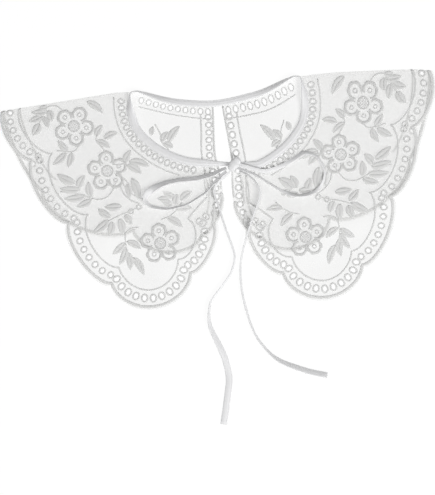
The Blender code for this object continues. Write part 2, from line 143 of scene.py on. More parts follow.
FRONT_SCALLOPS = [
    Scallop(170.8, -45.6, 151.9, -41.8, 9.4, 7, 3.9, 3.4),
    Scallop(144.0, -105.6, 126.3, -100.1, 11.2, 8, 3.9, 3.4),
    Scallop(112.7, -163.7, 104.7, -150.3, 11.0, 8, 4.1, 3.5),
    Scallop(41.6, -162.4, 51.0, -149.3, 26.0, 11, 5.2, 3.8),
    Scallop(16.6, -120.2, 38.0, -114.6, 8.5, 7, 5.0, 3.8),
    Scallop(13.8, -104.0, 18.4, -97.0, 1.0, 0, 4.4, 4.4),
]
BACK_SCALLOPS = [
    Scallop(165.0, -74.0, 151.0, -66.0, 6.0, 11, 3.9, 3.4),
    Scallop(88.0, -117.0, 81.0, -101.0, 18.0, 0, 3.9, 3.4),
    Scallop(27.0, -129.0, 34.0, -114.0, 19.0, 0, 3.9, 3.4),
    Scallop(6.4, -94.0, 18.0, -92.0, 6.2, 0, 3.9, 3.4),
]
FRONT_EDGE = [(12.9, -97.0), (13.0, -88.0), (12.8, -78.0), (11.8, -71.0)]
FRONT_INNER = [(18.4, -97.0), (19.2, -88.0), (19.0, -79.0), (17.6, -72.5)]
BACK_EDGE = [(3.9, -91.0), (4.0, -82.0), (4.8, -71.0), (6.4, -57.0), (3.6, -16.0), (3.4, -12.6)]
BACK_COLUMN = [(15.4, -115.5), (11.7, -105.3), (9.9, -96.0), (9.8, -87.0), (11.4, -73.0), (12.2, -57.0),
               (10.2, -35.0), (9.2, -18.0)]
FRONT_CORNER = [(31.2, -119.9), (21.9, -114.6), (12.9, -107.0)]
FRONT_CORNER_EYELETS = 3
BACK_COLUMN_EYELETS = 13
COLUMN_EYELET = 3.8

# The front's soft waves: direction from the neck in degrees, rise and spread.
WAVES = [(-9.0, 1.5, 5.0), (-30.0, 1.2, 6.0), (-52.0, 1.6, 6.0), (-74.0, 1.1, 5.0)]
WAVE_CENTRE = np.array((20.0, 0.0))
WAVE_START = 85.0
WAVE_FULL = 150.0

# The tapes' routes, close to the solids' own.
BINDING = Tape(7.5, 1.9)
TIE = Tape(6.0, 1.4)
TAPE_STEP = 6.0
ON_BACK = WALL + 0.35
FEEL_REACH = 6.5
FEEL_WAYS = 8
EASING_PASSES = 4
NECK_CORNER = 7
NECK_ROUTE = [
    Row(0.0, -9.2, 0.1, 0, 0.8),
    Row(12.0, -9.0, 0.1, 0, 0.8),
    Row(28.0, -6.5, 0.1, 5, 0.8),
    Row(40.0, -4.0, 0.1, 15, 0.8),
    Row(52.0, 0.0, 0.2, 35, 0.8),
    Row(62.0, 4.0, 0.8, 60, 0.8),
    Row(71.0, 6.6, ON_BACK, 80, 0.8),
    Row(76.3, 5.2, ON_BACK, 85, 0.8),
    Row(78.0, -0.5, ON_BACK, 72, 0.9),
    Row(78.6, -8.5, ON_BACK, 38, 1.0),
    Row(77.5, -19.0, ON_BACK, 10, 1.0),
    Row(74.0, -30.0, ON_BACK, 0, 1.0),
    Row(66.0, -41.0, ON_BACK, 0, 1.0),
    Row(55.0, -51.0, ON_BACK, 0, 1.0),
    Row(41.7, -59.0, ON_BACK, 0, 1.0),
    Row(30.0, -63.6, ON_BACK, 0, 1.0),
    Row(17.0, -66.2, ON_BACK, 0, 0.95),
]
LEFT_END = [Row(-8.3, -63.0, ON_BACK, 0, 0.65), Row(6.0, -65.0, ON_BACK, 0, 0.45)]
RIGHT_END = [Row(21.5, -67.2, ON_BACK, 0, 0.7), Row(12.0, -66.0, ON_BACK, 0, 0.5)]
LEFT_LOOP = [
    Row(7.0, -66.9, 1.9, -45, 0.6),
    Row(-4.0, -69.8, 1.4, -50, 0.8),
    Row(-11.1, -72.4, GAP, -50, 1.0),
    Row(-25.9, -74.6, GAP, -50, 1.15),
    Row(-40.3, -74.3, GAP, -52, 1.2),
    Row(-52.2, -75.2, GAP, -50, 1.2),
    Row(-63.4, -78.2, GAP, -30, 1.1),
    Row(-71.8, -82.9, GAP, 25, 1.0),
    Row(-74.6, -88.6, GAP, 40, 0.8),
    Row(-70.5, -94.2, GAP, 45, 0.7),
    Row(-57.2, -98.4, GAP, 50, 0.6),
    Row(-45.8, -97.9, GAP, 55, 0.5),
    Row(-36.6, -96.2, GAP, 55, 0.5),
    Row(-28.0, -92.2, GAP, 55, 0.5),
    Row(-18.4, -87.0, GAP, 55, 0.5),
    Row(-9.4, -78.4, GAP, 50, 0.5),
    Row(1.0, -71.0, GAP, 20, 0.5),
    Row(6.0, -68.6, GAP, 10, 0.5),
]
RIGHT_LOOP = [
    Row(12.0, -66.2, 1.4, -10, 0.55),
    Row(22.0, -70.4, 1.0, -15, 0.6),
    Row(32.9, -74.6, GAP, -15, 0.65),
    Row(42.0, -74.4, GAP, -15, 0.65),
    Row(53.3, -71.2, GAP, 0, 0.65),
    Row(62.8, -66.9, GAP, 25, 0.7),
    Row(72.5, -62.9, GAP, 40, 0.75),
    Row(80.8, -65.6, GAP, 40, 0.5),
    Row(86.3, -72.3, GAP, 35, 0.42),
    Row(88.5, -82.0, GAP, 35, 0.42),
    Row(85.2, -91.8, GAP, 20, 0.42),
    Row(77.0, -98.6, GAP, -30, 0.5),
    Row(67.3, -100.4, GAP, -50, 0.65),
    Row(58.2, -99.2, GAP, -50, 0.6),
    Row(50.5, -95.6, GAP, -20, 0.45),
    Row(42.6, -89.9, GAP, -45, 0.48),
    Row(34.6, -83.6, GAP, -50, 0.5),
    Row(26.8, -77.4, GAP, -50, 0.5),
    Row(10.5, -68.8, GAP, -40, 0.5),
]
LEFT_TAIL = [
    Row(7.0, -69.8, GAP, 70, 0.7),
    Row(2.0, -73.9, GAP, 70, 0.7),
    Row(-7.0, -80.2, GAP, 70, 0.75),
    Row(-11.3, -85.5, GAP, 70, 0.7),
    Row(-11.6, -92.5, GAP, 70, 0.7),
    Row(-9.4, -101.2, GAP, 70, 0.7),
    Row(-7.8, -110.4, GAP, 70, 0.72),
    Row(-4.8, -125.2, GAP, 70, 0.72),
    Row(-1.2, -139.2, GAP, 70, 0.78),
    Row(-0.3, -149.0, GAP, 70, 0.78),
    Row(-5.2, -162.3, GAP, 70, 0.78),
    Row(-16.7, -175.5, GAP, 70, 0.78),
    Row(-26.1, -186.2, GAP, 70, 0.78),
    Row(-29.2, -198.0, GAP, 70, 0.95),
    Row(-28.7, -209.5, GAP, 55, 1.0),
    Row(-24.0, -223.2, GAP, 35, 1.0),
    Row(-19.4, -238.0, GAP, 15, 1.0),
    Row(-17.6, -254.2, GAP, 0, 1.0),
    Row(-19.9, -268.0, GAP, 0, 1.0),
    Row(-27.2, -296.6, GAP, 0, 1.0),
]
RIGHT_TAIL = [
    Row(8.5, -68.0, GAP, 70, 0.6),
    Row(12.6, -72.2, GAP, 70, 0.65),
    Row(18.4, -75.8, GAP, 70, 0.75),
    Row(25.4, -83.0, GAP, 70, 0.7),
    Row(28.9, -93.0, GAP, 70, 0.72),
    Row(26.1, -102.5, GAP, 70, 0.72),
    Row(20.2, -114.5, GAP, 70, 0.72),
    Row(14.2, -127.4, GAP, 70, 0.72),
    Row(7.9, -143.0, GAP, 70, 0.72),
    Row(3.9, -157.9, GAP, 70, 0.72),
    Row(2.8, -176.8, GAP, 70, 0.78),
    Row(4.6, -195.7, GAP, 70, 0.78),
    Row(9.8, -218.4, GAP, 70, 0.78),
    Row(19.1, -234.9, GAP, 65, 0.78),
    Row(28.8, -245.0, GAP, 55, 0.95),
    Row(40.7, -251.8, GAP, 45, 1.0),
    Row(55.3, -258.5, GAP, 35, 1.0),
    Row(70.2, -263.4, GAP, 30, 1.0),
]
KNOT_MIDDLE = np.array((8.9, -65.6))
KNOT_TURN = math.radians(-43.0)
KNOT_CAGE = (9.4, 16.0, 7.0)
KNOT_SHRINK = 0.84
KNOT_CLEAR = -1.4
KNOT_LIFT = 1.4


def smoothstep(value: Any) -> Any:
    """Ease from 0 to 1 as the value, or each value of an array, goes from 0 to 1."""
    value = np.clip(value, 0.0, 1.0)
    return value * value * (3 - 2 * value)


def through(rows: Sequence[Sequence[float]], step: float) -> np.ndarray:
    """Follow a smooth curve through rows of numbers.

    Args:
        rows: The rows, each starting with its x and y.
        step: The rough distance between the rows that come out.

    Returns:
        The rows on the curve, one after another.
    """
    table = np.array(rows, float)
    padded = np.vstack([2 * table[0] - table[1], table, 2 * table[-1] - table[-2]])
    smooth = [table[0]]
    for before, start, end, after in zip(padded, padded[1:], padded[2:], padded[3:]):
        count = max(1, round(math.hypot(end[0] - start[0], end[1] - start[1]) / step))
        for i in range(1, count + 1):
            t = i / count
            square = (2 * before - 5 * start + 4 * end - after) * t * t
            cube = (3 * start - before - 3 * end + after) * t ** 3
            smooth.append((2 * start + (end - before) * t + square + cube) / 2)
    return np.array(smooth)


def inside(points: np.ndarray, loop: np.ndarray) -> np.ndarray:
    """Say which points lie inside a closed outline."""
    odd = np.zeros(len(points), bool)
    for start, end in zip(loop, np.roll(loop, -1, axis=0)):
        rise = end[1] - start[1]
        if rise:
            cross = start[0] + (end[0] - start[0]) * (points[:, 1] - start[1]) / rise
            odd ^= ((start[1] > points[:, 1]) != (end[1] > points[:, 1])) & (points[:, 0] < cross)
    return odd


def distance(points: np.ndarray, loop: np.ndarray) -> np.ndarray:
    """Return each point's distance from a closed outline."""
    best = np.full(len(points), np.inf)
    for start, end in zip(loop, np.roll(loop, -1, axis=0)):
        edge = end - start
        share = np.clip((points - start) @ edge / max(edge @ edge, 1e-12), 0, 1)
        best = np.minimum(best, np.linalg.norm(points - start - share[:, None] * edge, axis=1))
    return best


def runs(line: np.ndarray, closed: bool = False) -> np.ndarray:
    """Return the direction of a line at each of its points."""
    if closed:
        step = np.roll(line, -1, axis=0) - np.roll(line, 1, axis=0)
    else:
        step = np.gradient(line, axis=0)
    return step / np.maximum(np.linalg.norm(step, axis=1), 1e-9)[:, None]


def evened(line: np.ndarray, step: float) -> np.ndarray:
    """Return a line's points again, about a step apart."""
    along = np.concatenate([[0], np.cumsum(np.linalg.norm(np.diff(line, axis=0), axis=1))])
    at = np.linspace(0, along[-1], max(2, round(along[-1] / step) + 1))
    return np.stack([np.interp(at, along, line[:, k]) for k in range(line.shape[1])], axis=1)


def reach(row: Sequence[float], tape: Tape) -> tuple[float, float]:
    """Return how far a leaning tape reaches from its middle, sideways and upwards."""
    lean, size = abs(math.radians(row[3])), row[4]
    sideways = size * (tape.width * math.cos(lean) + tape.thick * math.sin(lean)) / 2
    upwards = size * (tape.width * math.sin(lean) + tape.thick * math.cos(lean)) / 2
    return sideways, upwards


@dataclass(frozen=True)
class Cut:
    """The outline of one half, as drawn, front and back.

    Args:
        steps: Points along each scallop.
        tuck: How far the cloth runs in under the neck tape.
    """

    steps: int = 20
    tuck: float = 1.2

    def border_line(self, start: np.ndarray, inner: np.ndarray, scallop: Scallop,
                    depth: float) -> np.ndarray:
        """Draw one scallop's line at a depth inside its stitched edge.

        Args:
            start: The notch that the scallop starts from.
            inner: The notch of the inner line there.
            scallop: The scallop.
            depth: How far inside the stitched edge the line runs.

        Returns:
            The line's points, notch to notch.
        """
        share = depth / BORDER_DEPTH
        end = np.array((scallop.x, scallop.y))
        end_inner = np.array((scallop.inner_x, scallop.inner_y))
        first = start + (inner - start) * share
        last = end + (end_inner - end) * share
        chord = last - first
        outward = np.array((-chord[1], chord[0])) / np.linalg.norm(chord)
        inset = ((start + end) / 2 - (first + last) / 2) @ outward
        angle = np.linspace(0, math.pi, self.steps + 1)
        rise = (scallop.bulge + inset - depth) * np.maximum(np.sin(angle), 0) ** SCALLOP_FULLNESS
        return first + np.outer((1 - np.cos(angle)) / 2, chord) + np.outer(rise, outward)

    def border_lines(self, scallops: list[Scallop], depth: float) -> list[np.ndarray]:
        """Draw a row of scallops' lines at a depth, from the shoulder tip on."""
        along = (NECK_POINT - SHOULDER_TIP) / np.linalg.norm(NECK_POINT - SHOULDER_TIP)
        start, inner = SHOULDER_TIP, SHOULDER_TIP + along * BORDER_DEPTH
        lines = []
        for scallop in scallops:
            lines.append(self.border_line(start, inner, scallop, depth))
            start = np.array((scallop.x, scallop.y))
            inner = np.array((scallop.inner_x, scallop.inner_y))
        return lines

    def neck_line(self, layer: Layer, offset: float | None = None) -> np.ndarray:
        """Draw a line beside the neck tape, towards the fold.

        Args:
            layer: The layer that it is on.
            offset: Its distance from the tape's middle, or None for the cloth's own edge.

        Returns:
            The line's points.
        """
        rows = through(NECK_ROUTE, TAPE_STEP)
        bend = NECK_ROUTE[NECK_CORNER]
        corner = int(np.argmin(np.hypot(rows[:, 0] - bend.x, rows[:, 1] - bend.y)))
        outward = runs(rows[:, :2])[:, ::-1] * (1, -1)
        outward[corner:] *= -1
        width = [reach(row, BINDING)[0] - self.tuck if offset is None else offset for row in rows]
        edge = rows[:, :2] + outward * np.array(width)[:, None]
        return edge[1:corner] if layer is Layer.BACK else edge[:corner:-1]

    def outline(self, layer: Layer) -> np.ndarray:
        """Draw one layer's whole edge, from the shoulder tip round to the neck point."""
        scallops, edge = (FRONT_SCALLOPS, FRONT_EDGE) if layer is Layer.FRONT else (BACK_SCALLOPS, BACK_EDGE)
        border = [line[:-1] for line in self.border_lines(scallops, -STITCH_MARGIN)]
        return np.vstack([*border, edge, self.neck_line(layer)])


@dataclass
class Laying:
    """How a half is folded over at the shoulder, mirrored, slid and laid.

    Args:
        cut: The half's outline.
        ripple: The height of the cloth's small unevenness.
        ripple_length: The length of that unevenness.
    """

    cut: Cut = field(default_factory=Cut)
    ripple: float = 0.12
    ripple_length: float = 19.0

    def __post_init__(self) -> None:
        """Keep the fold's directions and the back's outline at hand."""
        self.run = (SHOULDER_TIP - NECK_POINT) / np.linalg.norm(SHOULDER_TIP - NECK_POINT)
        self.down = np.array((self.run[1], -self.run[0]))
        self.front = self.cut.outline(Layer.FRONT)
        self.back = self.cut.outline(Layer.BACK)

    def unfold(self, points: np.ndarray, layer: Layer) -> np.ndarray:
        """Return drawn points' places on the flat pattern."""
        offset = np.atleast_2d(points) - NECK_POINT
        t = offset @ self.down
        bent = t * FOLD_ARC / FOLD_RADIUS
        w = np.where(np.abs(t) < FOLD_RADIUS, bent, t + np.sign(t) * FOLD_TAKE)
        return np.stack([offset @ self.run, layer.value * w], axis=1)

    def wave(self, points: np.ndarray) -> np.ndarray:
        """Return the rise of the front's soft waves at drawn points."""
        offset = points - WAVE_CENTRE
        angle = np.degrees(np.arctan2(offset[:, 1], offset[:, 0]))
        ramp = smoothstep((np.linalg.norm(offset, axis=1) - WAVE_START) / (WAVE_FULL - WAVE_START))
        return ramp * sum(rise * np.exp(-((angle - way) / spread) ** 2) for way, rise, spread in WAVES)

    def front_height(self, points: np.ndarray) -> np.ndarray:
        """Return the height of the front cloth's middle at drawn points."""
        past = np.where(inside(points, self.back), 0.0, distance(points, self.back))
        drop = (2 * FOLD_RADIUS - HEM_LIFT) * smoothstep(past / EASE_LENGTH)
        return WALL / 2 + 2 * FOLD_RADIUS + self.wave(points) - drop

    def slide(self, points: np.ndarray, side: Side) -> np.ndarray:
        """Return drawn points' places as that side's half lies."""
        share = smoothstep(np.linalg.norm(points - BACK_MIDDLE, axis=1) / SLIDE_REACH)
        column = 1 if side is Side.LEFT else 2
        rise = np.interp(points[:, 0], SHOULDER_RISE[:, 0], SHOULDER_RISE[:, column])
        rise *= smoothstep((points[:, 1] - RISE_FROM) / RISE_OVER)
        moved = points[:, 1] - side.value * HALF_SLIDE * share + rise
        return np.stack([side.value * points[:, 0], moved], axis=1)

    def cloth_top(self, places: np.ndarray) -> np.ndarray:
        """Return the height of the cloth's top at laid places, or 0 off the cloth."""
        side = np.where(places[:, 0] > 0, 1, -1)
        share = smoothstep(np.linalg.norm(places - BACK_MIDDLE, axis=1) / SLIDE_REACH)
        points = np.stack([side * places[:, 0], places[:, 1] + side * HALF_SLIDE * share], axis=1)
        top = np.where(inside(points, self.back), WALL, 0.0)
        return np.where(inside(points, self.front), self.front_height(points) + WALL / 2, top)

    def world(self, flat: np.ndarray, lift: np.ndarray, side: Side) -> np.ndarray:
        """Fold and lay points of the flat pattern.

        Args:
            flat: The points, s along the fold and w across it.
            lift: Each point's height off the middle of the cloth, on the right side of it.
            side: The half that they are on.

        Returns:
            Their places in the frame, in metres.
        """
        s, w = flat[:, 0], flat[:, 1]
        turn = np.clip(w / FOLD_RADIUS, -math.pi / 2, math.pi / 2)
        over = np.abs(w) > FOLD_ARC
        across = np.where(over, np.abs(w) - FOLD_TAKE, FOLD_RADIUS * (1 - np.cos(turn)))
        middle = NECK_POINT + np.outer(s, self.run) + np.outer(across, self.down)
        height = WALL / 2 + FOLD_RADIUS * (1 + np.sin(turn))
        height = np.where(w > FOLD_ARC, self.front_height(middle) + self.unevenness(flat), height)
        place = middle - np.outer(np.cos(turn) * lift, self.down)
        laid = self.slide(place, side) - CENTRE
        return np.column_stack([laid, height + np.sin(turn) * lift]) * MM

    def unevenness(self, flat: np.ndarray) -> np.ndarray:
        """Return the small rises and falls of the soft cloth in front."""
        rough = [noise.noise(Vector((s, w, 0.0)) / self.ripple_length) for s, w in flat]
        return self.ripple * np.array(rough) * smoothstep((flat[:, 1] - FOLD_ARC) / self.ripple_length)


def linear(code: str) -> tuple[float, float, float, float]:
    """Turn an sRGB hex colour into a linear one."""
    parts = [int(code[i:i + 2], 16) / 255 for i in (1, 3, 5)]
    lit = [p / 12.92 if p <= 0.04045 else ((p + 0.055) / 1.055) ** 2.4 for p in parts]
    return (*lit, 1.0)


def add_node(tree: bpy.types.NodeTree, kind: str, settings: dict[str, Any],
             links: dict[str, Any]) -> bpy.types.Node:
    """Add a node to a material.

    Args:
        tree: The material's nodes.
        kind: The node's type.
        settings: Its own properties, or its inputs' values, by name.
        links: The sockets that feed its inputs, by the input's name.

    Returns:
        The node.
    """
    node = tree.nodes.new(kind)
    for name, value in settings.items():
        if name in node.inputs:
            node.inputs[name].default_value = value
        else:
            setattr(node, name, value)
    for name, socket in links.items():
        tree.links.new(socket, node.inputs[name])
    return node


def bare_material(name: str) -> tuple[bpy.types.Material, bpy.types.Node]:
    """Return a new material and its Principled shader."""
    mat = bpy.data.materials.new(name)
    mat.use_nodes = True
    return mat, mat.node_tree.nodes["Principled BSDF"]


@dataclass(frozen=True)
class SheerCotton:
    """Cotton organza, plain woven and stiffened: open enough to see the surface through.

    Its fine threads give the eye a soft matt haze, a little denser here and there. The
    threads lie 0.3 mm apart, and are drawn at 0.6 mm so that they show close up.
    """

    colour: str = "#F2F2F1"
    cover: float = 0.4
    uneven: float = 0.03
    thread: float = 0.6
    cloud: float = 9.0

    def material(self) -> bpy.types.Material:
        """Return the cloth's material."""
        mat, shader = bare_material("cotton_organza")
        tree = mat.node_tree
        shader.inputs["Base Color"].default_value = linear(self.colour)
        shader.inputs["Roughness"].default_value = 0.85
        shader.inputs["Sheen Weight"].default_value = 0.05
        place = add_node(tree, "ShaderNodeTexCoord", {}, {}).outputs["Object"]
        cloud = add_node(tree, "ShaderNodeTexNoise", {"Scale": 1 / (self.cloud * MM), "Detail": 3.0},
                         {"Vector": place})
        cover = add_node(tree, "ShaderNodeMapRange",
                         {"From Min": 0.3, "From Max": 0.7, "To Min": self.cover - self.uneven,
                          "To Max": self.cover + self.uneven}, {"Value": cloud.outputs["Fac"]})
        tree.links.new(cover.outputs["Result"], shader.inputs["Alpha"])
        bands = math.pi / 10 / (self.thread * MM)
        warp, weft = (add_node(tree, "ShaderNodeTexWave",
                               {"Scale": bands, "bands_direction": way, "Distortion": 0.6},
                               {"Vector": place}) for way in ("X", "Y"))
        weave = add_node(tree, "ShaderNodeMath", {"operation": "MAXIMUM"}, {0: warp.outputs["Fac"]})
        tree.links.new(weft.outputs["Fac"], weave.inputs[1])
        bump = add_node(tree, "ShaderNodeBump", {"Strength": 0.25, "Distance": 0.1 * MM},
                        {"Height": weave.outputs["Value"]})
        tree.links.new(bump.outputs["Normal"], shader.inputs["Normal"])
        return mat


@dataclass(frozen=True)
class SatinStitch:
    """Mercerised cotton thread, laid side by side across each line.

    The threads give the eye fine ridges with a soft gloss along them; the grooves between
    them are painted in the darker shade colour, as painted shade. They are 0.25 mm apart,
    and are drawn at 0.5 mm so that they show.
    """

    name: str = "cotton_thread"
    colour: str = "#F1F1F0"
    # shade: painted shade, the darker colour painted into the grooves between the threads.
    shade: str = "#E0E0DF"
    thread: float = 0.5

    def material(self) -> bpy.types.Material:
        """Return the thread's material, its ridges across each line's own length, with painted shade in their
        grooves.
        """
        mat, shader = bare_material(self.name)
        tree = mat.node_tree
        shader.inputs["Roughness"].default_value = 0.6
        shader.inputs["Sheen Weight"].default_value = 0.05
        along = add_node(tree, "ShaderNodeUVMap", {"uv_map": "stitch"}, {}).outputs["UV"]
        ridges = add_node(tree, "ShaderNodeTexWave",
                          {"Scale": math.pi / 10 / self.thread, "bands_direction": "X", "Distortion": 0.4},
                          {"Vector": along})
        # Painted shade: each ridge blends from the shade colour in its groove to the thread's own colour on
        # top.
        painted_groove_shade = add_node(tree, "ShaderNodeMix", {"data_type": "RGBA"}, {"Factor": ridges.outputs["Fac"]})
        painted_groove_shade.inputs[MIX_FIRST].default_value = linear(self.shade)
        painted_groove_shade.inputs[MIX_SECOND].default_value = linear(self.colour)
        tree.links.new(painted_groove_shade.outputs[MIX_OUT], shader.inputs["Base Color"])
        bump = add_node(tree, "ShaderNodeBump", {"Strength": 0.6, "Distance": 0.15 * MM},
                        {"Height": ridges.outputs["Fac"]})
        tree.links.new(bump.outputs["Normal"], shader.inputs["Normal"])
        return mat


@dataclass(frozen=True)
class SatinTape:
    """Polyester satin bias tape, woven: its long floats give a soft gloss and fine cross lines."""

    colour: str = "#F0F0F1"
    weave: float = 0.7
    crumple: float = 5.0

    def material(self) -> bpy.types.Material:
        """Return the tape's material."""
        mat, shader = bare_material("satin_bias_tape")
        tree = mat.node_tree
        shader.inputs["Base Color"].default_value = linear(self.colour)
        shader.inputs["Roughness"].default_value = 0.42
        shader.inputs["Sheen Weight"].default_value = 0.15
        place = add_node(tree, "ShaderNodeTexCoord", {}, {}).outputs["Object"]
        along = add_node(tree, "ShaderNodeUVMap", {"uv_map": "stitch"}, {}).outputs["UV"]
        floats = add_node(tree, "ShaderNodeTexWave",
                          {"Scale": math.pi / 10 / self.weave, "bands_direction": "DIAGONAL",
                           "Distortion": 1.0},
                          {"Vector": along})
        fine = add_node(tree, "ShaderNodeBump", {"Strength": 0.2, "Distance": 0.08 * MM},
                        {"Height": floats.outputs["Fac"]})
        soft = add_node(tree, "ShaderNodeTexNoise", {"Scale": 1 / (self.crumple * MM), "Detail": 2.0},
                        {"Vector": place})
        bump = add_node(tree, "ShaderNodeBump", {"Strength": 0.5, "Distance": 0.5 * MM},
                        {"Height": soft.outputs["Fac"], "Normal": fine.outputs["Normal"]})
        tree.links.new(bump.outputs["Normal"], shader.inputs["Normal"])
        return mat


@dataclass(frozen=True)
class OpalAcrylic:
    """Opal acrylic over lamps, satin faced: it glows an even white and takes hardly any shade."""

    colour: str = "#595959"
    glow: float = 0.91

    def material(self) -> bpy.types.Material:
        """Return the light table's material."""
        mat, shader = bare_material("opal_acrylic")
        shader.inputs["Base Color"].default_value = linear(self.colour)
        shader.inputs["Roughness"].default_value = 0.9
        shader.inputs["Emission Color"].default_value = (1.0, 1.0, 1.0, 1.0)
        shader.inputs["Emission Strength"].default_value = self.glow
        return mat


@dataclass
class Thread:
    """Needlework gathered on the flat pattern, then laid as one piece."""

    points: list[np.ndarray] = field(default_factory=list)
    stitch: list[np.ndarray] = field(default_factory=list)
    faces: list[tuple[int, ...]] = field(default_factory=list)
    count: int = 0

    def bead(self, line: np.ndarray, width: Any, rise: Any, closed: bool = False, sides: int = 8) -> None:
        """Sew a rounded bead of stitches along a line.

        Args:
            line: The line's points on the flat pattern.
            width: The bead's full width, or one for each point.
            rise: How far it stands off the middle of the cloth, or one for each point.
            closed: Whether the line runs back into itself.
            sides: The number of points round the bead.
        """
        many = len(line)
        if many < 2:
            return
        way = runs(line, closed)
        aside = way[:, ::-1] * (1, -1)
        wide = np.broadcast_to(np.asarray(width, float), (many,))
        high = np.broadcast_to(np.asarray(rise, float), (many,))
        along = np.concatenate([[0], np.cumsum(np.linalg.norm(np.diff(line, axis=0), axis=1))])
        for k in range(sides):
            angle = 2 * math.pi * k / sides
            out, up = (math.copysign(abs(part) ** 0.55, part) for part in (math.cos(angle), math.sin(angle)))
            place = line + aside * (wide * out / 2)[:, None]
            self.points.append(np.column_stack([place, high * up]))
            self.stitch.append(np.column_stack([along, np.full(many, k / sides)]))
        start = self.count
        for i in range(many if closed else many - 1):
            j = (i + 1) % many
            for k in range(sides):
                n = (k + 1) % sides
                self.faces.append((start + k * many + i, start + k * many + j,
                                   start + n * many + j, start + n * many + i))
        if not closed:
            self.faces.append(tuple(start + k * many for k in range(sides)))
            self.faces.append(tuple(start + k * many + many - 1 for k in reversed(range(sides))))
        self.count += many * sides

    def lay(self, name: str, laying: Laying, side: Side, mat: bpy.types.Material) -> bpy.types.Object:
        """Lay the needlework on a half as one piece.

        Args:
            name: The piece's name.
            laying: How the cloth lies.
            side: The half that it is on.
            mat: Its material.

        Returns:
            The piece.
        """
        points = np.vstack(self.points)
        stitch = np.vstack(self.stitch)
        places = laying.world(points[:, :2], points[:, 2], side)
        faces = self.faces if side is Side.LEFT else [face[::-1] for face in self.faces]
        return new_piece(name, places, faces, mat, stitch)


def new_piece(name: str, places: np.ndarray, faces: Sequence[Sequence[int]], mat: bpy.types.Material,
              stitch: np.ndarray | None = None) -> bpy.types.Object:
    """Make a smooth mesh piece that rides on the collar.

    Args:
        name: The piece's name.
        places: Its points, in metres.
        faces: Its faces.
        mat: Its material.
        stitch: Each point's place along and round its line, in millimetres, if it has one.

    Returns:
        The piece.
    """
    mesh = bpy.data.meshes.new(name)
    mesh.from_pydata(places.tolist(), [], [list(face) for face in faces])
    if stitch is not None:
        layer = mesh.uv_layers.new(name="stitch")
        index = np.zeros(len(mesh.loops), int)
        mesh.loops.foreach_get("vertex_index", index)
        layer.data.foreach_set("uv", stitch[index].ravel())
    mesh.shade_smooth()
    mesh.materials.append(mat)
    mesh.update()
    piece = bpy.data.objects.new(name, mesh)
    bpy.context.scene.collection.objects.link(piece)
    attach(piece, "root")
    log.info("%s: %d faces", name, len(mesh.polygons))
    return piece


class Eyelet(NamedTuple):
    """One eyelet on the flat pattern: its middle, its row's direction, its sizes, its ring's width."""

    x: float
    y: float
    run_x: float
    run_y: float
    across: float
    along: float
    ring: float

    def oval(self, grow: float, sides: int) -> np.ndarray:
        """Return the eyelet's oval, grown by a distance all round."""
        angle = np.linspace(0, 2 * math.pi, sides, endpoint=False)
        run = np.array((self.run_x, self.run_y))
        aside = np.array((self.run_y, -self.run_x))
        return (np.array((self.x, self.y)) + np.outer((self.across / 2 + grow) * np.cos(angle), aside)
                + np.outer((self.along / 2 + grow) * np.sin(angle), run))


